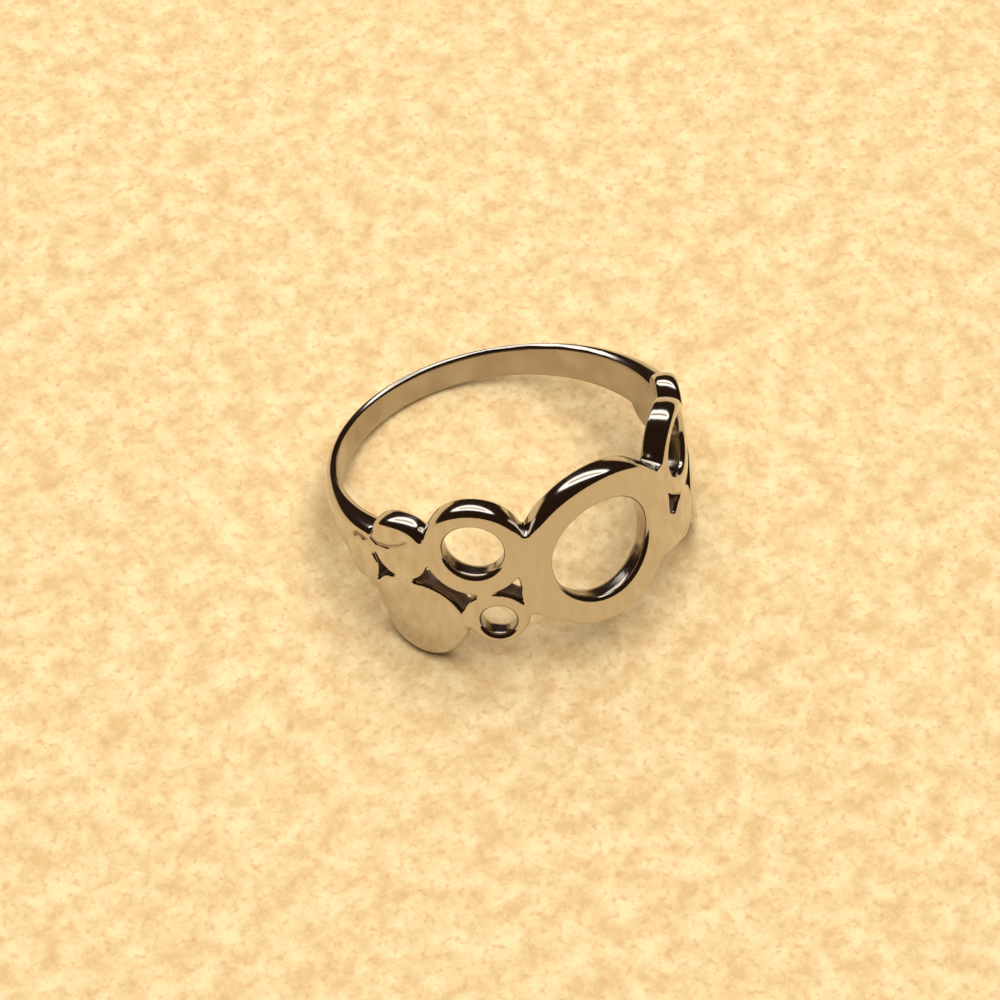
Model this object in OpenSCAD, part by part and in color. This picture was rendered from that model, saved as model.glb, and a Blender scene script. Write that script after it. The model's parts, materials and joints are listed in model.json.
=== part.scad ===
// Openwork band ring: a plain tapering shank that widens into a pierced cluster of round pebbles.
// The finger hole's axis is Z while the ring is shaped, and the middle of the head faces -Y.
// Angles are degrees round the finger hole from the middle of the head, positive towards +X.
// Heights are along that axis, from the middle of the back of the shank.

/* [Finger hole] */
// Radius of the finger hole
finger_r = 8.6; // [7.5:0.1:10.5]

/* [Head] */
// Wall thickness of the head
head_t = 1.27; // [1:0.01:1.6]
// Height of the rounded top edge, measured along the finger hole
top_round_h = 0.5; // [0.3:0.05:0.8]
// Depth of the rounded top edge, measured outwards from the finger hole
top_round_t = 0.85; // [0.4:0.05:0.95]
// Height of the rounded bottom edge
bottom_round_h = 0.4; // [0.3:0.05:0.8]
// Depth of the rounded bottom edge
bottom_round_t = 0.5; // [0.4:0.05:0.95]
// Bevel along both edges of the finger hole
bevel = 0.12; // [0.05:0.01:0.15]

/* [Open circles] */
// Outer radius of the large circle
large_r = 4.625; // [4.5:0.025:4.8]
// Radius of the opening in the large circle
large_hole_r = 2.85; // [2.2:0.05:3]
// Outer radius of the medium circle on the left
left_medium_r = 2.7; // [2.6:0.05:2.8]
// Outer radius of the medium circle on the right
right_medium_r = 2.55; // [2.5:0.05:2.7]
// Radius of the opening in the medium circles
medium_hole_r = 1.55; // [1:0.05:1.7]
// Outer radius of the small circle
small_r = 1.67; // [1.6:0.01:1.75]
// Radius of the opening in the small circle
small_hole_r = 0.9; // [0.6:0.05:1]

/* [Pebbles] */
// Radius of the low side pebbles that the ring rests on
low_r = 2.42; // [2.3:0.02:2.5]
// Radius of the middle side pebbles
middle_r = 1.55; // [1.5:0.05:1.65]
// Radius of the shoulder pebbles
shoulder_r = 1.5; // [1.4:0.05:1.6]

/* [Shank] */
// Thickness at the back
back_t = 0.6; // [0.5:0.05:1]
// Half of the width at the back
back_half_w = 0.9; // [0.7:0.05:1.3]
// Rise of the top edge from the back to the front
top_rise = 1.02; // [0.6:0.02:1.2]
// Drop of the bottom edge from the back to the front
bottom_drop = 0.7; // [0.4:0.02:1]
// Depth of the rounded outer face
shank_round_t = 0.2; // [0.1:0.05:0.3]

/* [Hidden] */

// Arc lengths are measured at the middle of the head's wall.
mid_r = finger_r + head_t / 2;
mm_per_degree = mid_r * PI / 180;

// Columns of the tables below
ANGLE = 0;
HEIGHT = 1;
HALF_W = 2;
HALF_H = 3;

// Round forms of the head: angle, height, half width along the band, half height
large = [0, -0.625, large_r, large_r];
left_medium = [-41.2, 1.1, left_medium_r, left_medium_r];
right_medium = [41.9, 1.08, right_medium_r, right_medium_r];
small_open = [-37.3, -3.2, small_r, small_r];
small_pebble = [38, -2.85, 1.5, 1.5];
left_lobe = [-66.5, 1.65, 1.3, 0.85];
right_lobe = [68, 1.8, 1.35, 0.9];

// The same on both sides, stated for the right
low = [61.5, -3.5, low_r, low_r];
low_shoulder = [67.6, -2.7, 1.75, 1.75];
middle = [66, 0.5, middle_r, middle_r];
shoulder = [84, -0.8, shoulder_r, shoulder_r];

// Short webs of metal that join neighbouring forms, where they stand out beyond the round forms
web_shoulder_middle = [76, 0.6, 0.45, 0.45];
web_shoulder_low = [79.4, -1.95, 0.6, 0.6];
web_low_middle = [65.7, -1, 0.45, 0.45];
webs_large_small = [
    [-16.1, -2.5, 1.7, 1.7],
    [-23.6, -1.9, 0.85, 0.85],
    [-25.75, -2.75, 0.6, 0.6],
    [24, -2.6, 1.25, 1.25],
    [30, -2.95, 1.1, 1.1]
];

both_sides = [low, low_shoulder, middle, shoulder, web_shoulder_middle, web_shoulder_low, web_low_middle];
forms = concat(
    [large, left_medium, right_medium, small_open, small_pebble, left_lobe, right_lobe],
    both_sides,
    [for (f = both_sides) mirrored(f)],
    webs_large_small
);

// Openings: angle, height, radius
holes = [
    [-1, -0.65, large_hole_r],
    [-41.2, 1.15, medium_hole_r],
    [41.2, 1.15, medium_hole_r],
    [-37, -3.35, small_hole_r]
];

// Gaps between forms: the angle where each is cut, and the forms that surround it
gaps = [
    for (side = [-1, 1])
        let (
            m = side < 0 ? left_medium : right_medium,
            s = side < 0 ? small_open : small_pebble,
            l = on_side(low, side),
            c = on_side(middle, side)
        )
        each [
            [side * 32, [m, large, s]],
            [side * 53, [m, s, l, c]],
            [side * 75, [c, l, on_side(shoulder, side), on_side(web_shoulder_middle, side)]]
        ]
];

section_count = 180;
edge_steps = 5;
blank_overlap = 0.3;
cut_start = 5;
cut_reach = 8;
far_below = -100;

function mirrored(f) = [-f[ANGLE], each [for (i = [1:len(f) - 1]) f[i]]];
function on_side(f, side) = side < 0 ? mirrored(f) : f;

// A smooth step from 0 to 1 as x goes from 0 to 1
function eased(x) =
    let (t = min(max(x, 0), 1))
    t * t * (3 - 2 * t);

// How far round towards the head: 0 along the back of the shank, 1 on the head
head_share = function (a) eased((cos(a) - cos(125)) / (cos(74) - cos(125)));
function between(back, head, a) = back + (head - back) * head_share(a);

function thickness(a) = between(back_t, head_t, a);

// Depth and height of the rounded edge at an angle
function rounding(depth, height, a) = [between(shank_round_t, depth, a), between(back_half_w, height, a)];

// The form's half height at an angle, or undef where the angle misses the form
function reach(f, a) =
    let (s = (a - f[ANGLE]) * mm_per_degree / f[HALF_W])
    abs(s) < 1 ? f[HALF_H] * sqrt(1 - s * s) : undef;

function top_of(a) = max([
    back_half_w + top_rise * (1 + cos(a)) / 2,
    for (f = forms) let (h = reach(f, a)) is_undef(h) ? far_below : f[HEIGHT] + h
]);
function bottom_of(a) = min([
    -back_half_w - bottom_drop * (1 + cos(a)) / 2,
    for (f = forms) let (h = reach(f, a)) is_undef(h) ? -far_below : f[HEIGHT] - h
]);

// A quarter of an ellipse from the outer face round to an edge, as distances below each of the two
function quarter(size) = [
    for (i = [0:edge_steps])
        let (q = 90 * i / edge_steps)
        [size[0] * (1 - cos(q)), size[1] * (1 - sin(q))]
];

// One section of the blank as radius and height, from the inner bottom edge round to the inner top
function section(a) =
    let (
        top = top_of(a),
        bottom = bottom_of(a),
        face = finger_r + thickness(a),
        room = (top - bottom) / 2 - 0.02,
        upper = rounding(top_round_t, top_round_h, a),
        lower = rounding(bottom_round_t, bottom_round_h, a),
        top_edge = quarter([upper[0], min(upper[1], room)]),
        bottom_edge = quarter([lower[0], min(lower[1], room)])
    )
    concat(
        [[finger_r - blank_overlap, bottom + bevel + blank_overlap], [finger_r + bevel, bottom]],
        [for (i = [edge_steps:-1:0]) [face - bottom_edge[i][0], bottom + bottom_edge[i][1]]],
        [for (p = top_edge) [face - p[0], top - p[1]]],
        [[finger_r + bevel, top], [finger_r - blank_overlap, top - bevel - blank_overlap]]
    );

sections = [for (i = [0:section_count - 1]) let (a = i * 360 / section_count - 180) [a, section(a)]];
points_per_section = len(sections[0][1]);
blank_points = [for (s = sections) each [for (p = s[1]) [p[0] * sin(s[0]), -p[0] * cos(s[0]), p[1]]]];

// Side view of the surface as pairs of Y and Z, without the metal that the finger hole removes
side_view = [
    for (s = sections) each [for (p = s[1]) [-max(p[0], finger_r) * cos(s[0]), p[1]]]
];
front_side = [for (p = side_view) if (p[0] < 0) p];
back_side = [for (p = side_view) if (p[0] > 0) p];

// Depth and height of a point of the side view once the ring leans back by a tilt
function leaned(p, tilt) = [
    p[0] * cos(tilt) + p[1] * sin(tilt),
    p[1] * cos(tilt) - p[0] * sin(tilt)
];
function lowest(points, tilt) = min([for (p = points) leaned(p, tilt)[1]]);

// The tilt at which the low pebbles and the back of the shank meet the floor together
function settled(low_tilt, high_tilt, halvings) =
    let (tilt = (low_tilt + high_tilt) / 2)
    halvings == 0 ? tilt
    : lowest(back_side, tilt) > lowest(front_side, tilt) ? settled(tilt, high_tilt, halvings - 1)
    : settled(low_tilt, tilt, halvings - 1);

rest_tilt = settled(5, 40, 14);
rest_drop = lowest(side_view, rest_tilt);
depths = [for (p = side_view) leaned(p, rest_tilt)[0]];
rest_middle = (min(depths) + max(depths)) / 2;

module blank() {
    faces = [
        for (i = [0:section_count - 1], j = [0:points_per_section - 1])
            let (
                i2 = (i + 1) % section_count,
                j2 = (j + 1) % points_per_section,
                p = i * points_per_section + j,
                q = i * points_per_section + j2,
                u = i2 * points_per_section + j,
                v = i2 * points_per_section + j2
            )
            each [[p, q, v], [p, v, u]]
    ];
    polyhedron(blank_points, faces);
}

// Places a shape, drawn flat with its height along Z, so that it cuts outwards at an angle
module outwards(a) {
    rotate([0, 0, a]) rotate([90, 0, 0]) translate([0, 0, cut_start]) children();
}

module opening(h) {
    outwards(h[ANGLE]) translate([0, h[HEIGHT], 0]) cylinder(r = h[2], h = cut_reach, $fn = 96);
}

// What the outline through the middles of the surrounding forms leaves outside all the forms
module gap(a, around) {
    outwards(a) linear_extrude(cut_reach) difference() {
        polygon([for (f = around) [(f[ANGLE] - a) * mm_per_degree, f[HEIGHT]]]);
        for (f = forms)
            if (f[HALF_W] == f[HALF_H] && abs(f[ANGLE] - a) < 45)
                translate([(f[ANGLE] - a) * mm_per_degree, f[HEIGHT]]) circle(r = f[HALF_W], $fn = 96);
    }
}

module band_ring() {
    color("silver") translate([0, -rest_middle, -rest_drop]) rotate([-rest_tilt, 0, 0]) difference() {
        blank();
        // The seam of the finger hole's wall runs down solid metal, behind a middle pebble
        rotate([0, 0, -23]) cylinder(r = finger_r, h = 40, center = true, $fn = 180);
        for (h = holes) opening(h);
        for (g = gaps) gap(g[0], g[1]);
    }
}

band_ring();
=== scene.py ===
"""A polished silver band ring: a plain tapering shank and a pierced head of round pebbles and circles.

The ring is shaped round the axis of its finger hole and then laid on its side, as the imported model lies.
While it is shaped, lengths are millimetres, angles are degrees round the finger hole from the middle of
the head, positive towards the right, and heights are along the finger hole. In the scene, lengths are
metres.
"""
import json
from typing import NamedTuple

import bpy
import numpy as np
from mathutils import Matrix, Vector


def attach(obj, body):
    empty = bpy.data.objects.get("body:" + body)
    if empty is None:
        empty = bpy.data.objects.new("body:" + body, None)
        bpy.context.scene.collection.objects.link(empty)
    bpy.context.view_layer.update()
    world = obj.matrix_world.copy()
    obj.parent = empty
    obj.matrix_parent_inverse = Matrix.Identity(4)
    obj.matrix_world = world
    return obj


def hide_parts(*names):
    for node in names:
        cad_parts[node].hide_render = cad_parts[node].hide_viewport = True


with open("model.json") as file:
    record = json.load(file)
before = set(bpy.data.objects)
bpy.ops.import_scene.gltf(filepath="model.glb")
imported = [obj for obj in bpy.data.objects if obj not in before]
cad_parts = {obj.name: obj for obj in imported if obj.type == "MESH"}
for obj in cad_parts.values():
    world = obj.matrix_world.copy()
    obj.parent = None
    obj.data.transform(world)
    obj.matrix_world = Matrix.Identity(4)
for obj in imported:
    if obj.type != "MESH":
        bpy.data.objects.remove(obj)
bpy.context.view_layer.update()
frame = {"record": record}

MM = 0.001
TINY = 1e-9
# A distance that is out of reach of everything
FAR = 9.0

# Finger hole and wall
FINGER_R = 8.6
HEAD_T = 1.27
BACK_T = 0.6
MID_R = FINGER_R + HEAD_T / 2
MM_PER_DEGREE = np.radians(MID_R)

# Angles where the head ends, and where the edges and the wall are down to the back's size
HEAD_END = 74
EDGES_BACK = 125
WALL_BACK = 150

# Shank: half width at the back, and how much the edges spread towards the front
BACK_HALF_W = 0.9
TOP_RISE = 1.02
BOTTOM_DROP = 0.7

# Rounded edges as (height along the finger hole, depth outwards)
TOP_ROUND = (0.38, 0.85)
BOTTOM_ROUND = (0.4, 0.5)
SHANK_ROUND = (BACK_HALF_W, 0.45)
# Where the bottom's rounding gives way to the top's: the height it starts at, and over what height
TOP_ROUND_FROM = (-1.6, 1.2)

# Slope worn down to the inner edge: its width on the head and on the shank, the angle from which it
# widens and over how many degrees, its steepness in degrees, and the rounding of its edge
INNER_SLOPE = (0.15, 0.3)
INNER_SLOPE_FROM = (45, 40)
INNER_TILT = 22
INNER_ROUND = 0.1

# Front and inner edges of the openings as (across the opening, into the wall)
HOLE_ROUND = ((0.24, 0.36), (0.3, 0.5))
GAP_ROUND = ((0.14, 0.24), (0.14, 0.14))

# How softly two forms flow into each other, and how far metal fills the sharp ends of a gap
BLEND = 0.04
GAP_BLEND = 0.065
# A depth over a blend that is far outside every form
OUTSIDE_ALL = -400.0


class Form(NamedTuple):
    """A round form of the head: its half width is along the band."""
    angle: float
    height: float
    half_w: float
    half_h: float


def disc(angle, height, radius):
    """A form that is round, so its two half sizes are its radius."""
    return Form(angle, height, radius, radius)


def mirrored(form):
    """The same form on the other side of the head."""
    return form._replace(angle=-form.angle)


def both(*forms):
    """The forms and their mirror images."""
    return (*forms, *(mirrored(form) for form in forms))


LARGE = disc(0, -0.625, 4.625)
LEFT_MEDIUM = disc(-41.2, 1.1, 2.7)
RIGHT_MEDIUM = disc(41.9, 1.08, 2.55)
SMALL_OPEN = disc(-37.3, -3.2, 1.67)
SMALL_PEBBLE = disc(38, -2.85, 1.5)
LEFT_LOBE = Form(-66.3, 1.65, 1.5, 0.92)
RIGHT_LOBE = Form(66.8, 1.77, 1.25, 0.88)

# The same on both sides, stated for the right
LOW = disc(61.5, -3.5, 2.42)
LOW_SHOULDER = disc(67.6, -2.7, 1.75)
MIDDLE = disc(66, 0.5, 1.55)
SHOULDER = disc(84, -0.8, 1.5)

# Short webs of metal that join neighbouring forms
WEB_SHOULDER_MIDDLE = disc(76, 0.55, 0.6)
WEB_SHOULDER_LOW = disc(79.4, -1.95, 0.6)
WEB_LOW_MIDDLE = disc(65.7, -1, 0.45)
WEB_MIDDLE_MEDIUM = disc(58.2, 1.3, 0.5)
WEBS_LARGE_SMALL = (
    disc(-16.1, -2.5, 1.7),
    disc(-23.6, -1.9, 0.85),
    disc(-25.75, -2.75, 0.6),
    disc(24, -2.6, 1.25),
    disc(30, -2.95, 1.1),
)
WEBS_MEDIUM_SMALL = (disc(-39.8, -1.57, 0.3), disc(40, -1.41, 0.3))

FORMS = (
    LARGE, LEFT_MEDIUM, RIGHT_MEDIUM, SMALL_OPEN, SMALL_PEBBLE, LEFT_LOBE, RIGHT_LOBE,
    *both(LOW, LOW_SHOULDER, MIDDLE, SHOULDER, WEB_SHOULDER_MIDDLE, WEB_SHOULDER_LOW, WEB_LOW_MIDDLE),
    WEB_MIDDLE_MEDIUM,
    *WEBS_LARGE_SMALL, *WEBS_MEDIUM_SMALL,
)
HIGHEST = LARGE.height + LARGE.half_h
LOWEST = LOW.height - LOW.half_h

# Round openings: angle, height, radius
HOLES = ((-1, -0.65, 2.85), (-41.2, 1.15, 1.55), (41.2, 1.15, 1.55), (-37, -3.35, 0.9))

# Gaps: the angle where each is cut, how much it is opened up, and the forms whose middles surround it
SHOULDER_GAP = (MIDDLE, LOW, SHOULDER, WEB_SHOULDER_MIDDLE)
GAPS = (
    (-32, 0, (LEFT_MEDIUM, LARGE, SMALL_OPEN)),
    (-53, 0, (LEFT_MEDIUM, SMALL_OPEN, mirrored(LOW), mirrored(MIDDLE))),
    (-75, 0.06, tuple(mirrored(form) for form in SHOULDER_GAP)),
    (32, 0, (RIGHT_MEDIUM, LARGE, SMALL_PEBBLE)),
    (53, 0, (RIGHT_MEDIUM, SMALL_PEBBLE, LOW, MIDDLE)),
    (75, 0.06, SHOULDER_GAP),
)
# How far round from its angle a gap is cut, and from how far round forms may bound it
GAP_REACH = 26
GAP_FORMS_REACH = 40

# Creases where pebbles touch, and a pit beside the left shoulder, as lines through angles and heights
LOBE_CREASE = ((-75.9, 1.4), (-75.8, 1.1), (-73.6, 0.82), (-69.1, 0.86), (-65.1, 1.1), (-62.4, 1.38))
WEB_CREASE = ((-77.6, 0.72), (-76.4, 0.45), (-75.2, 0.12))
SHOULDER_PIT = ((-84.2, 0.56), (-82.8, 0.78), (-80.8, 0.76), (-79.2, 0.72))
# Line, depth and half width of each
CREASES = (
    (LOBE_CREASE, 0.105, 0.13),
    (tuple((-angle, height) for angle, height in LOBE_CREASE), 0.08, 0.14),
    (WEB_CREASE, 0.06, 0.13),
    (SHOULDER_PIT, 0.15, 0.18),
)

# Notches of the top edge: how much tighter the rounding is there, how far round each that reaches, and
# the step in degrees at which they are looked for
NOTCH_TIGHT = 2.5
NOTCH_REACH = 0.55
NOTCH_STEP = 0.02

# The outline between the two shoulders: first angle, last angle and step, and points for each step
OUTLINE_ANGLES = (-110, 110, 0.3)
OUTLINE_POINTS = 3

# Discs that fill the pattern up to its outline: the depth from which the face is flat, how far short of
# it the forms may fall, the smallest disc, and where the middles are looked for as first, last and step
FILL_DEPTH = 0.7
FILL_SHORT = 0.07
FILL_SMALLEST = 0.45
FILL_ANGLES = (-95, 95, 0.8)
FILL_HEIGHTS = (-5.9, 4.1, 0.13)

# The mesh: the grid's cells round the ring, up and outwards, how many cells it has beyond the metal
# before and after it, and how its vertices are moved onto the surface: in how many rounds, with what
# least steepness, and by what part of a cell at most
CELL = (0.1, 0.082, 0.082)
CELLS_BEFORE = 2.5
CELLS_AFTER = 3
MOVES = 4
LEAST_STEEPNESS = 0.05
LONGEST_MOVE = 0.5
# The step for slopes, and how far round each vertex its normal is averaged, about half a cell
SLOPE_STEP = 0.004
NORMAL_REACH = 0.045

# How dull a surface is left, from 0, buffed, to 1, as it was cast; the same share darkens the silver with
# painted shade
HOLE_DULLNESS = 0.45
INNER_DULLNESS = 0.5
GAP_DULLNESS = 1
# Where buffing ends, as where it starts to end and over what length: by the depth of a crease, by the
# distance outwards from the finger hole, and by the distance outside an opening's straight wall
CREASE_DULL_FROM = (0.07, 0.05)
CREASE_OUTSIDE_FROM = (0.3, 0.2)
INNER_DULL_WITHIN = 0.1
OPENING_DULL_WITHIN = (0.01, 0.09)
# The same into an opening, as shares of the depth of its front rounding
FRONT_DULL_FROM = (0.5, 0.5)


def eased(x):
    """A smooth step: 3x^2 - 2x^3 between 0 and 1."""
    t = np.clip(x, 0, 1)
    return t * t * (3 - 2 * t)


def eased_from(x, start, length):
    """0 up to a start and 1 once x is a length past it, eased between them."""
    return eased((x - start) / length)


def between(first, second, share):
    """The first value plus a share of the way to the second."""
    return first + (second - first) * share


def arc(degrees):
    """Length along the band, measured at the middle of the head's wall."""
    return degrees * MM_PER_DEGREE


def headness(angle, back):
    """0 behind the back angle and 1 on the head, eased in the cosine of the angle."""
    low, high = np.cos(np.radians((back, HEAD_END)))
    return eased((np.cos(np.radians(angle)) - low) / (high - low))


def frontness(angle):
    """0 at the middle of the back and 1 at the middle of the head, in the cosine of the angle."""
    return (1 + np.cos(np.radians(angle))) / 2


def wall(angle):
    """Thickness of the wall, which thins out further back than the edges do."""
    return between(BACK_T, HEAD_T, headness(angle, WALL_BACK))


def shank_depth(angle, up):
    """How far inside the shank's two edges a point lies; they run on beneath the head."""
    front = frontness(angle)
    return np.minimum(BACK_HALF_W + TOP_RISE * front - up, up + BACK_HALF_W + BOTTOM_DROP * front)


def form_depth(along, up, form):
    """How far inside a round form a point lies: one minus its distance from the middle as a share of the
    rim's distance in that direction, times the rim's distance."""
    share = np.hypot(along / form.half_w, up / form.half_h) + TINY
    return (1 - share) * (np.hypot(along, up) + TINY * form.half_w) / share


def pattern_depth(forms, along_of, up, blend=BLEND):
    """Depth inside the union of forms: blend times the log of the sum of exp(depth / blend)."""
    total = OUTSIDE_ALL
    for form in forms:
        total = np.logaddexp(total, form_depth(along_of(form), up - form.height, form) / blend)
    return total * blend


def edge_heights(angles, side):
    """How far the shank and each form reach towards the top (side 1) or the bottom (side -1): a form's
    half height times the root of one minus the square of its share of the half width."""
    heights = [BACK_HALF_W + (TOP_RISE if side > 0 else BOTTOM_DROP) * frontness(angles)]
    for form in FORMS:
        s = arc(angles - form.angle) / form.half_w
        inside = np.abs(s) < 1
        rise = form.half_h * np.sqrt(np.where(inside, 1 - s * s, 0))
        heights.append(np.where(inside, side * form.height + rise, -FAR))
    return np.array(heights)


def outline_points():
    """Points along the top and the bottom edge of the ring, as lengths along the band and heights, with
    the steps from one form to the next filled in."""
    angles = np.arange(*OUTLINE_ANGLES)
    share = np.linspace(0, 1, OUTLINE_POINTS, endpoint=False)[:, None, None]
    points = []
    for side in (1, -1):
        edge = np.stack((arc(angles), side * edge_heights(angles, side).max(0)), 1)
        points.append((edge[:-1] * (1 - share) + edge[1:] * share).reshape(-1, 2))
    return np.concatenate(points)


def filling_discs():
    """Discs that close the pattern up to its outline, so that only the outline is rounded: each is the
    widest that fits where the forms' own depth falls short of the distance to the outline."""
    grid = np.meshgrid(np.arange(*FILL_ANGLES), np.arange(*FILL_HEIGHTS))
    angle, up = (values.ravel() for values in grid)
    spots = np.stack((arc(angle), up), 1)
    outline = outline_points()
    room = np.array([np.hypot(*(outline - spot).T).min() for spot in spots])
    top, bottom = (edge_heights(angle, side).max(0) for side in (1, -1))
    room[(up > top) | (up < -bottom)] = 0
    in_forms = [form_depth(spots[:, 0] - arc(form.angle), up - form.height, form) for form in FORMS]
    depth = np.maximum(shank_depth(angle, up), np.max(in_forms, 0))
    discs = []
    while True:
        short = (np.minimum(room, FILL_DEPTH) - depth > FILL_SHORT) & (room > FILL_SMALLEST)
        if not short.any():
            return tuple(discs)
        at = np.where(short, room, 0).argmax()
        discs.append(disc(angle[at], up[at], room[at]))
        depth = np.maximum(depth, room[at] - np.hypot(*(spots - spots[at]).T))


def notch(left, right):
    """Where the upper edges of two neighbouring forms cross."""
    angles = np.arange(left.angle, right.angle, NOTCH_STEP)
    edges = []
    for form in (left, right):
        s = arc(angles - form.angle) / form.half_w
        edges.append(form.height + form.half_h * np.sqrt(np.maximum(1 - s ** 2, 0)))
    at = np.abs(edges[0] - edges[1]).argmin()
    return angles[at], edges[0][at]


CLOSED_PATTERN = FORMS + filling_discs()
NOTCHES = (
    notch(LEFT_MEDIUM, LARGE),
    notch(LARGE, RIGHT_MEDIUM),
    notch(RIGHT_MEDIUM, WEB_MIDDLE_MEDIUM),
)


def corner(edge, face, size_edge, size_face):
    """Depth below a wall and a face that meet in a quarter ellipse: one minus the length of what each
    depth lacks of its own rounding size, times the smaller size."""
    short_edge = np.maximum(1 - edge / size_edge, 0)
    short_face = np.maximum(1 - face / size_face, 0)
    return (1 - np.hypot(short_edge, short_face)) * np.minimum(size_edge, size_face)


def walled(edge, outer, inner, outer_round, inner_round):
    """A wall between the outer and the inner face, rounded towards both."""
    return np.minimum(corner(edge, outer, *outer_round), corner(edge, inner, *inner_round))


def notch_factor(angle, up):
    """How much faster the metal thickens from the edge near a deep notch: one plus a bell round each."""
    factor = 1
    for notch_angle, height in NOTCHES:
        squared = arc(angle - notch_angle) ** 2 + (up - height) ** 2
        factor = factor + NOTCH_TIGHT * np.exp(-squared / NOTCH_REACH ** 2)
    return factor


def line_distance(along, up, line):
    """How far a point lies from a line: the least distance to its straight stretches."""
    nearest = FAR
    for (first_angle, first_height), (next_angle, next_height) in zip(line, line[1:]):
        x = along - arc(first_angle)
        y = up - first_height
        run = arc(next_angle) - arc(first_angle)
        rise = next_height - first_height
        share = np.clip((x * run + y * rise) / (run ** 2 + rise ** 2), 0, 1)
        nearest = np.minimum(nearest, np.hypot(x - share * run, y - share * rise))
    return nearest


def crease_depth(angle, up):
    """How deep the creases cut into the outer face: the depth of each times a bell of the distance from
    its line."""
    depth = 0
    for line, deepest, half_width in CREASES:
        depth = depth + deepest * np.exp(-(line_distance(arc(angle), up, line) / half_width) ** 2)
    return depth


def outside_polygon(along, up, corners):
    """How far a point lies outside a polygon: the most by which it is beyond the line of any side."""
    sides = list(zip(corners, corners[1:] + corners[:1]))
    turn = sum(a[0] * b[1] - b[0] * a[1] for a, b in sides)
    outside = -FAR
    for a, b in sides:
        outwards = np.array((b[1] - a[1], a[0] - b[0])) * np.sign(turn)
        outwards = outwards / np.hypot(*outwards)
        outside = np.maximum(outside, (along - a[0]) * outwards[0] + (up - a[1]) * outwards[1])
    return outside


def gap_edge(angle, up, radius, gap_angle, opened, around):
    """How far a point lies from one gap: inside the forms, or outside the polygon through the middles of
    the forms that surround the gap."""
    angle, up, radius = np.broadcast_arrays(angle, up, radius)
    distance = np.full(angle.shape, FAR)
    window = np.abs(angle - gap_angle) < GAP_REACH
    along = radius[window] * np.sin(np.radians(angle[window] - gap_angle))
    height = up[window]
    corners = [(arc(form.angle - gap_angle), form.height) for form in around]
    near = [
        form for form in FORMS
        if abs(form.angle - gap_angle) < GAP_FORMS_REACH and form.half_w == form.half_h
    ]
    edge = pattern_depth(near, lambda form: along - arc(form.angle - gap_angle), height, GAP_BLEND)
    distance[window] = np.maximum(edge - opened, outside_polygon(along, height, corners))
    return distance


def opening_edges(angle, up, radius):
    """How far outside the straight wall of each opening a point lies, how that wall is rounded, and how
    dull it is."""
    for hole_angle, height, hole_r in HOLES:
        turn = np.radians(angle - hole_angle)
        edge = np.hypot(radius * np.sin(turn), up - height) - hole_r
        yield np.where(np.cos(turn) > 0, edge, FAR), HOLE_ROUND, HOLE_DULLNESS
    for gap_angle, opened, around in GAPS:
        yield gap_edge(angle, up, radius, gap_angle, opened, around), GAP_ROUND, GAP_DULLNESS


def metal_depth(angle, up, radius):
    """How far inside the metal a point lies, in mm, negative outside. The blank is the shank and the
    closed pattern, and the round openings and the gaps are cut through it with straight walls."""
    shank = shank_depth(angle, up)
    head = pattern_depth(CLOSED_PATTERN, lambda form: arc(angle - form.angle), up)
    edge = np.logaddexp(shank / BLEND, head / BLEND) * BLEND * notch_factor(angle, up)
    outer = FINGER_R + wall(angle) - radius - crease_depth(angle, up)
    inner = radius - FINGER_R
    share = headness(angle, EDGES_BACK)
    upper = eased_from(up, *TOP_ROUND_FROM)
    rounding = [
        between(shank_size, between(low_size, top_size, upper), share)
        for shank_size, low_size, top_size in zip(SHANK_ROUND, BOTTOM_ROUND, TOP_ROUND)
    ]
    slope_width = between(*INNER_SLOPE, eased_from(np.abs(angle), *INNER_SLOPE_FROM))
    tilt = np.radians(INNER_TILT)
    slope = edge * np.cos(tilt) + (inner - slope_width) * np.sin(tilt)
    depth = np.minimum(corner(edge, outer, *rounding), corner(slope, inner, INNER_ROUND, INNER_ROUND))
    for opening, opening_round, _ in opening_edges(angle, up, radius):
        depth = np.minimum(depth, walled(opening, outer, inner, *opening_round))
    return depth


def polar(points):
    """Angle, height and radius of points round the finger hole, whose head faces -Y."""
    x, y, z = points.T
    return np.degrees(np.arctan2(x, -y)), z, np.hypot(x, y)


def depth_at(points):
    """The depth function at points round the finger hole."""
    return metal_depth(*polar(points))


def slope_at(points, step=SLOPE_STEP):
    """The gradient of the depth function by central differences."""
    shifts = np.eye(3) * step
    return np.stack([(depth_at(points + s) - depth_at(points - s)) / (2 * step) for s in shifts], 1)


def crossing_cells(depth):
    """Cells of the grid whose corners lie on both sides of the surface, and where in each cell the
    surface runs: the mean of the crossings on its edges. The first axis closes on itself."""
    inside = depth > 0
    sides = [(i, j, k) for i in (0, 1) for j in (0, 1) for k in (0, 1)]
    _, columns, layers = depth.shape

    def at(values, corner_of_cell):
        i, j, k = corner_of_cell
        return np.roll(values, -i, 0)[:, j:columns - 1 + j, k:layers - 1 + k]

    count = sum(at(inside, side).astype(np.int8) for side in sides)
    cells = np.argwhere((count > 0) & (count < len(sides)))
    picks = tuple(cells.T)
    values = {side: at(depth, side)[picks] for side in sides}
    total = np.zeros((len(cells), 3))
    crossed = np.zeros(len(cells))
    for a in sides:
        for axis in range(3):
            if a[axis]:
                continue
            b = tuple(1 if n == axis else value for n, value in enumerate(a))
            change = (values[a] > 0) != (values[b] > 0)
            share = np.where(change, values[a] / np.where(change, values[a] - values[b], 1), 0)
            place = np.array(a, float)[None] + np.eye(3)[axis][None] * share[:, None]
            total += np.where(change[:, None], place, 0)
            crossed += change
    return cells, cells + total / crossed[:, None]


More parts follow.
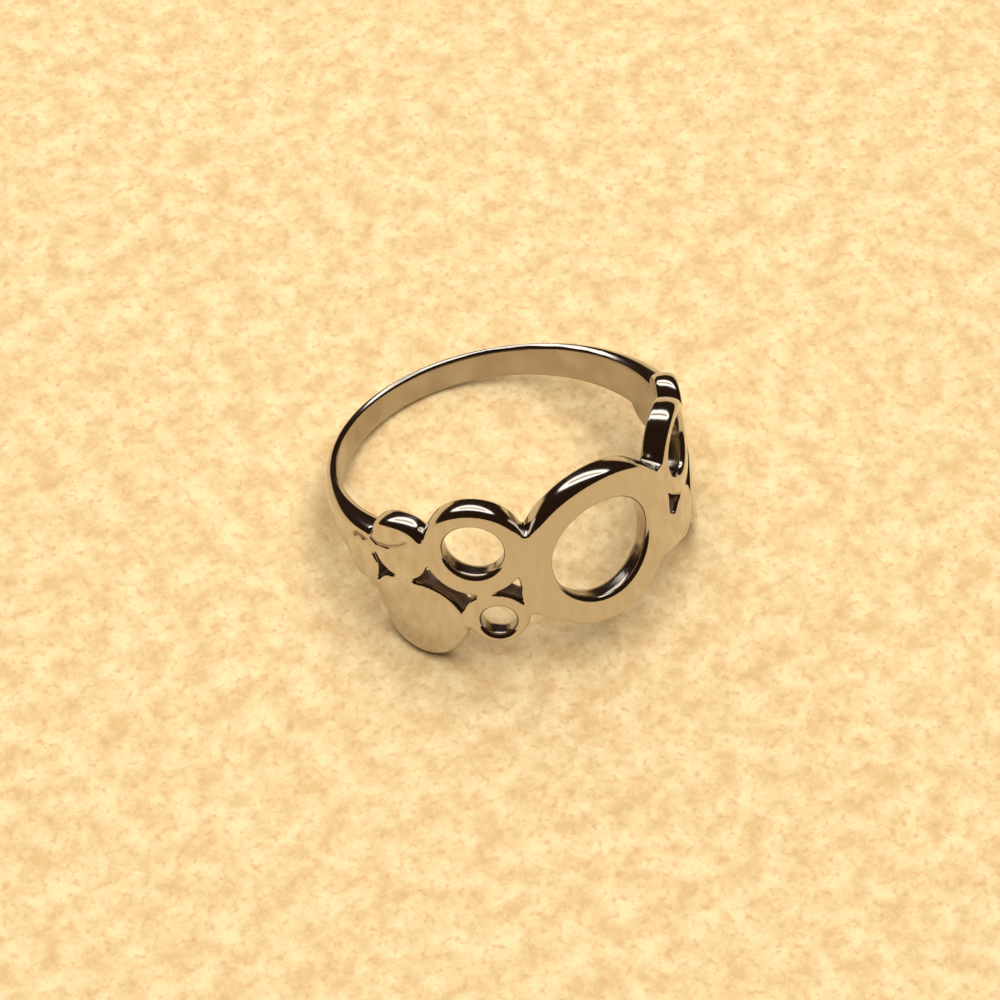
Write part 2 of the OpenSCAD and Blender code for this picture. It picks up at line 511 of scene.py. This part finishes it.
def cell_quads(depth, cells):
    """One face for each edge of the grid that crosses the surface, through the four cells round it."""
    rows, columns, layers = depth.shape
    number = np.full((rows, columns - 1, layers - 1), -1)
    number[tuple(cells.T)] = np.arange(len(cells))
    inside = depth > 0
    quads = []
    for axis in range(3):
        if axis == 0:
            here = inside
            ahead = np.roll(inside, -1, 0)
        else:
            here = np.take(inside, range(depth.shape[axis] - 1), axis)
            ahead = np.take(inside, range(1, depth.shape[axis]), axis)
        u, v = [n for n in range(3) if n != axis]
        for leaving in (True, False):
            edges = np.argwhere((here & ~ahead) if leaving else (~here & ahead))
            corners = []
            for du, dv in ((0, 0), (-1, 0), (-1, -1), (0, -1)):
                cell = edges.copy()
                cell[:, u] += du
                cell[:, v] += dv
                cell[:, 0] %= rows
                corners.append(number[tuple(cell.T)])
            quad = np.stack(corners, 1)
            forward = leaving != (axis == 1)
            quads.append(quad if forward else quad[:, ::-1])
    return np.concatenate(quads)


def ring_surface():
    """Vertices, outward normals, faces and finish of the ring: the zero surface of the depth function,
    found on a grid round the finger hole and then moved onto it along the slope."""
    cell_round, cell_up, cell_out = CELL
    rows = int(2 * np.pi * MID_R / cell_round)
    angles = np.arange(rows) * 360 / rows - 180
    ups = np.arange(LOWEST - CELLS_BEFORE * cell_up, HIGHEST + CELLS_AFTER * cell_up, cell_up)
    first_radius = FINGER_R - CELLS_BEFORE * cell_out
    radii = np.arange(first_radius, FINGER_R + HEAD_T + CELLS_AFTER * cell_out, cell_out)
    depth = metal_depth(angles[:, None, None], ups[None, :, None], radii[None, None, :])
    cells, places = crossing_cells(depth)
    quads = cell_quads(depth, cells)
    around = np.radians(places[:, 0] * 360 / rows - 180)
    out = radii[0] + places[:, 2] * cell_out
    points = np.stack((out * np.sin(around), -out * np.cos(around), ups[0] + places[:, 1] * cell_up), 1)
    for _ in range(MOVES):
        slope = slope_at(points)
        steepness = np.maximum((slope ** 2).sum(1), LEAST_STEEPNESS)
        step = slope * (depth_at(points) / steepness)[:, None]
        length = np.linalg.norm(step, axis=1)
        step *= np.minimum(1, LONGEST_MOVE * cell_up / np.maximum(length, TINY))[:, None]
        points -= step
    slope = slope_at(points, NORMAL_REACH)
    normals = -slope / np.maximum(np.linalg.norm(slope, axis=1), TINY)[:, None]
    return points, normals, quads, finish_at(points)


def finish_at(points):
    """How dull a point was left: the dullest of the inner face, the deepest creases and the openings,
    whose front edges are buffed as deep as they are rounded."""
    angle, up, radius = polar(points)
    creased = eased_from(crease_depth(angle, up), *CREASE_DULL_FROM)
    creased = creased * eased_from(radius - FINGER_R, *CREASE_OUTSIDE_FROM)
    inner = eased((FINGER_R + INNER_DULL_WITHIN - radius) / INNER_DULL_WITHIN)
    finish = np.maximum(INNER_DULLNESS * inner, creased)
    for edge, (front, _), dullness in opening_edges(angle, up, radius):
        deep = eased_from((FINGER_R + wall(angle) - radius) / front[1], *FRONT_DULL_FROM)
        finish = np.maximum(finish, dullness * deep * (1 - eased_from(edge, *OPENING_DULL_WITHIN)))
    return finish


def laid_down(vectors, places=True):
    """Turns vectors from round the finger hole to how the ring lies, and moves places there, in metres."""
    bore = next(mount for mount in frame["record"]["mounts"] if mount["name"] == "finger_hole")
    along = np.array(bore["axis"])
    across = np.array((1.0, 0.0, 0.0))
    turned = vectors @ np.stack((across, np.cross(along, across), along))
    if not places:
        return turned
    return (turned - along * (HIGHEST + LOWEST) / 2) * MM + np.array(bore["pos_m"])


def make_mesh(name, points, faces, normals=None):
    mesh = bpy.data.meshes.new(name)
    mesh.from_pydata(points.tolist(), [], faces.tolist())
    mesh.polygons.foreach_set("use_smooth", np.ones(len(mesh.polygons), bool))
    if normals is not None:
        mesh.normals_split_custom_set_from_vertices(normals.tolist())
    piece = bpy.data.objects.new(name, mesh)
    bpy.context.scene.collection.objects.link(piece)
    return piece


def rectangle(half_w, half_d):
    """The corners of a flat rectangle round the origin, and its one face."""
    signs = ((-1, -1), (1, -1), (1, 1), (-1, 1))
    return np.array([(x * half_w, y * half_d, 0) for x, y in signs]), np.array([[0, 1, 2, 3]])


def linear(hex_colour):
    """A linear colour from an sRGB hex value such as "F0E0C0"."""
    values = [int(hex_colour[n:n + 2], 16) / 255 for n in (0, 2, 4)]
    return [v / 12.92 if v <= 0.04045 else ((v + 0.055) / 1.055) ** 2.4 for v in values] + [1.0]


def per_metre(size_mm):
    """The scale of a pattern whose features are a size in millimetres apart."""
    return 1 / (size_mm * MM)


def node(tree, kind, settings=None, **inputs):
    """Adds a node with its settings, and links or sets its inputs. An input's name has _ for a space, or
    is n and the input's number. In a map range, n1 to n4 are from min, from max, to min and to max. In a
    mix of colours, n0 is the share of the second colour, and n6 and n7 are the colours."""
    made = tree.nodes.new("ShaderNode" + kind)
    for name, value in (settings or {}).items():
        setattr(made, name, value)
    for name, value in inputs.items():
        numbered = name[0] == "n" and name[1:].isdigit()
        socket = made.inputs[int(name[1:]) if numbered else name.replace("_", " ")]
        if isinstance(value, bpy.types.NodeSocket):
            tree.links.new(value, socket)
        else:
            socket.default_value = value
    return made


# Settings of a mix of colours and of an eased map range
COLOURS = {"data_type": "RGBA"}
SMOOTH = {"interpolation_type": "SMOOTHSTEP"}


def new_material(name):
    material = bpy.data.materials.new(name)
    material.use_nodes = True
    material.node_tree.nodes.clear()
    return material, material.node_tree


# Sizes in mm of the patterns in the silver: the waves that the file and the wheel leave, the grain of
# the mould, and the brushing, along and across. Real grain and brushing are several times finer, and
# are drawn as coarse as they need to show.
WAVE_SIZE = 1.613
GRAIN_SIZE = 0.1538
BRUSH_SIZE = (1.111, 0.0909)
# Their heights in mm
WAVE_HEIGHT = 0.012
GRAIN_HEIGHT = 0.03
BRUSH_HEIGHT = 0.004
SILVER_COLOUR = "C9C1B6"
# Painted shade: the two colours of the film that darkens the dull silver
SHADE_FILM_COLOURS = ("AEA498", "9E9284")
RESIDUE_COLOUR = "9A7D68"


def polished_silver():
    """Sterling silver, cast and then buffed by hand: a mirror with slow waves, which bend what it
    reflects. The inner face is only brushed, and the walls of the openings keep the grain of the mould,
    so both are duller."""
    material, tree = new_material("polished_sterling_silver")
    place = node(tree, "TexCoord").outputs["Object"]
    finish = node(tree, "Attribute", {"attribute_name": "finish"}).outputs["Fac"]
    waves = node(tree, "TexNoise", Vector=place, Scale=per_metre(WAVE_SIZE), Detail=1.0, Roughness=0.4)
    grain = node(tree, "TexNoise", Vector=place, Scale=per_metre(GRAIN_SIZE), Detail=2.0, Roughness=0.6)
    brush_along, brush_across = (per_metre(size) for size in BRUSH_SIZE)
    stretch = node(tree, "Mapping", Vector=place, Scale=(brush_along, brush_along, brush_across))
    brushing = node(tree, "TexNoise", Vector=stretch.outputs[0], Scale=1.0, Detail=2.0, Roughness=0.6)
    wave_bump = node(tree, "Bump", Height=waves.outputs[0], Strength=1.0, Distance=WAVE_HEIGHT * MM)
    brush_amount = node(tree, "MapRange", SMOOTH, Value=finish, n1=0.1, n2=0.5, n3=0.0, n4=0.6)
    brush_bump = node(
        tree, "Bump", Height=brushing.outputs[0], Strength=brush_amount.outputs[0],
        Distance=BRUSH_HEIGHT * MM, Normal=wave_bump.outputs[0],
    )
    grain_amount = node(tree, "MapRange", SMOOTH, Value=finish, n1=0.1, n2=1.0, n3=0.0, n4=0.6)
    grain_bump = node(
        tree, "Bump", Height=grain.outputs[0], Strength=grain_amount.outputs[0],
        Distance=GRAIN_HEIGHT * MM, Normal=brush_bump.outputs[0],
    )
    dull = node(tree, "MapRange", Value=finish, n1=0.0, n2=1.0, n3=0.12, n4=0.28)
    # Painted shade: where the silver is dull, a brown-grey film darkens it in patches, standing in for the
    # darker things that the inner face, the walls of the openings and the deepest creases mirror
    painted_shade_share = node(tree, "MapRange", Value=finish, n1=0.1, n2=0.6, n3=0.0, n4=1.0)
    patches = node(tree, "MapRange", Value=waves.outputs[0], n1=0.4, n2=0.6, n3=0.0, n4=1.0)
    paler_shade, deeper_shade = (linear(colour) for colour in SHADE_FILM_COLOURS)
    shade_film = node(tree, "Mix", COLOURS, n0=patches.outputs[0], n6=paler_shade, n7=deeper_shade)
    silver = linear(SILVER_COLOUR)
    colour = node(tree, "Mix", COLOURS, n0=painted_shade_share.outputs[0], n6=silver, n7=shade_film.outputs[2])
    # In the gaps, brown residue of the polishing paste covers part of the metal
    bare = node(tree, "MapRange", Value=finish, n1=0.55, n2=1.0, n3=1.0, n4=0.6)
    covered = node(tree, "MapRange", Value=finish, n1=0.55, n2=1.0, n3=0.0, n4=0.8)
    residue = linear(RESIDUE_COLOUR)
    coated = node(tree, "Mix", COLOURS, n0=covered.outputs[0], n6=colour.outputs[2], n7=residue)
    surface = node(
        tree, "BsdfPrincipled", Base_Color=coated.outputs[2], Metallic=bare.outputs[0],
        Roughness=dull.outputs[0], Normal=grain_bump.outputs[0],
    )
    node(tree, "OutputMaterial", Surface=surface.outputs["BSDF"])
    return material


# Sizes in mm of the paper's clouds, flecks and tooth, and the tooth's height
CLOUD_SIZE = 1.5625
FLECK_SIZE = 0.5263
TOOTH_SIZE = 0.3125
TOOTH_HEIGHT = 0.06
CREAM_COLOURS = ("D9B680", "F0D6A2")
FLECK_COLOUR = "D2A46E"


def cream_floor():
    """Heavy cream paper, pressed and uncoated: clouds of colour one to three millimetres wide, warm
    flecks, and a fine tooth."""
    material, tree = new_material("pale_cream_paper")
    place = node(tree, "TexCoord").outputs["Object"]
    clouds = node(tree, "TexNoise", Vector=place, Scale=per_metre(CLOUD_SIZE), Detail=4.0, Roughness=0.66)
    flecks = node(tree, "TexNoise", Vector=place, Scale=per_metre(FLECK_SIZE), Detail=3.0, Roughness=0.6)
    tooth = node(tree, "TexNoise", Vector=place, Scale=per_metre(TOOTH_SIZE), Detail=3.0, Roughness=0.6)
    cloud_share = node(tree, "MapRange", Value=clouds.outputs[0], n1=0.36, n2=0.64, n3=0.0, n4=1.0)
    fleck_share = node(tree, "MapRange", Value=flecks.outputs[0], n1=0.52, n2=0.7, n3=0.0, n4=0.7)
    dark, light = (linear(colour) for colour in CREAM_COLOURS)
    cream = node(tree, "Mix", COLOURS, n0=cloud_share.outputs[0], n6=dark, n7=light)
    fleck = linear(FLECK_COLOUR)
    flecked = node(tree, "Mix", COLOURS, n0=fleck_share.outputs[0], n6=cream.outputs[2], n7=fleck)
    bump = node(tree, "Bump", Height=tooth.outputs[0], Strength=0.5, Distance=TOOTH_HEIGHT * MM)
    surface = node(
        tree, "BsdfPrincipled", Base_Color=flecked.outputs[2], Roughness=0.7, Normal=bump.outputs[0],
        Specular_IOR_Level=0.3,
    )
    node(tree, "OutputMaterial", Surface=surface.outputs["BSDF"])
    return material


CARD_COLOUR = "DDD3C4"


def pale_card():
    """Matt card, which gives the eye nothing but its shade."""
    material, tree = new_material("pale_card")
    surface = node(tree, "BsdfPrincipled", Base_Color=linear(CARD_COLOUR), Roughness=0.9)
    node(tree, "OutputMaterial", Surface=surface.outputs["BSDF"])
    return material


def make_ring():
    points, normals, quads, finish = ring_surface()
    ring = make_mesh("silver_band_ring", laid_down(points), quads, laid_down(normals, places=False))
    ring.data.attributes.new("finish", "FLOAT", "POINT").data.foreach_set("value", finish)
    ring.data.materials.append(polished_silver())
    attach(ring, "root")
    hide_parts("band_ring")


# Half of the floor's side in metres
FLOOR_HALF = 2.0


def make_floor():
    floor = make_mesh("floor", *rectangle(FLOOR_HALF, FLOOR_HALF))
    floor.data.materials.append(cream_floor())


# The camera, fitted to the photograph's outline: focal length in mm on a 36 mm sensor, and the turn, as
# an axis times radians, and the shift in mm that take the ring's own frame to the camera's
LENS = 126.0
CAMERA_TURN = (2.089641, -0.713162, 0.168751)
CAMERA_SHIFT = (0.049585, -2.343853, 185.358914)


def make_camera():
    turn = Vector(CAMERA_TURN)
    rotation = Matrix.Rotation(turn.length, 3, turn.normalized())
    eye = np.array(rotation.transposed() @ (-Vector(CAMERA_SHIFT)))
    right, down, ahead = (np.array(row) for row in rotation)
    columns = [laid_down(axis[None], places=False)[0] for axis in (right, -down, -ahead)]
    columns.append(laid_down(eye[None])[0])
    camera = bpy.data.objects.new("camera", bpy.data.cameras.new("camera"))
    camera.data.lens = LENS
    camera.matrix_world = Matrix(np.stack(columns, 1).tolist() + [[0, 0, 0, 1]])
    bpy.context.scene.collection.objects.link(camera)
    bpy.context.scene.camera = camera


# The lights and the bar of card: azimuth and elevation as from the ring, distance from it, the softbox's
# roll in degrees, sizes, and watts. Lengths are metres, and the bar's are half sizes.
SOFTBOX = (156, 49)
SOFTBOX_DISTANCE = 0.45
SOFTBOX_ROLL = -24
SOFTBOX_SIZE = (0.7, 0.22)
SOFTBOX_WATTS = 0.8
BAR_DISTANCE = 0.4
BAR_HALF = (0.18, 0.02)
OVERHEAD = (90, 89)
OVERHEAD_DISTANCE = 0.9
OVERHEAD_SIZE = (1.1, 1.1)
OVERHEAD_WATTS = 12.1
ROOM_COLOUR = "2E1F14"


def from_ring(azimuth, elevation, distance):
    """A place as seen from the ring: azimuth in degrees from the front towards the photograph's right."""
    a, e = np.radians((azimuth, elevation))
    return Vector((np.sin(a) * np.cos(e), -np.cos(a) * np.cos(e), np.sin(e))) * distance


def facing_ring(place, roll):
    """A turn whose Z axis points away from the ring and whose X axis is level, but for the roll."""
    away = place.normalized()
    level = Vector((-away.y, away.x, 0)).normalized()
    across = Matrix.Rotation(np.radians(roll), 3, away) @ level
    return Matrix((across, away.cross(across), away)).transposed().to_euler()


def area_light(name, place, roll, size, watts):
    light = bpy.data.lights.new(name, "AREA")
    light.shape = "ELLIPSE"
    light.size, light.size_y = size
    light.energy = watts
    lamp = bpy.data.objects.new(name, light)
    lamp.location = place
    lamp.rotation_euler = facing_ring(place, roll)
    bpy.context.scene.collection.objects.link(lamp)
    return lamp


def make_lights():
    """The softbox behind the ring that the silver mirrors, and a broad soft light overhead that lights
    the floor and isn't mirrored."""
    place = from_ring(*SOFTBOX, SOFTBOX_DISTANCE)
    area_light("softbox", place, SOFTBOX_ROLL, SOFTBOX_SIZE, SOFTBOX_WATTS)
    place = from_ring(*OVERHEAD, OVERHEAD_DISTANCE)
    overhead = area_light("overhead_light", place, 0, OVERHEAD_SIZE, OVERHEAD_WATTS)
    overhead.visible_glossy = False


def make_bar():
    """A bar of card across the middle of the softbox, which leaves a slit in its reflections."""
    middle = from_ring(*SOFTBOX, BAR_DISTANCE)
    turn = facing_ring(middle, SOFTBOX_ROLL).to_matrix()
    flat, face = rectangle(*BAR_HALF)
    corners = np.array([turn @ Vector(corner) + middle for corner in flat])
    bar = make_mesh("softbox_bar", corners, face)
    bar.data.materials.append(pale_card())


def make_room():
    world = bpy.data.worlds.new("dim_room")
    world.use_nodes = True
    world.node_tree.nodes["Background"].inputs["Color"].default_value = linear(ROOM_COLOUR)
    bpy.context.scene.world = world
    bpy.context.scene.view_settings.view_transform = "Standard"


make_camera()
make_room()
make_lights()
make_bar()
make_floor()
make_ring()
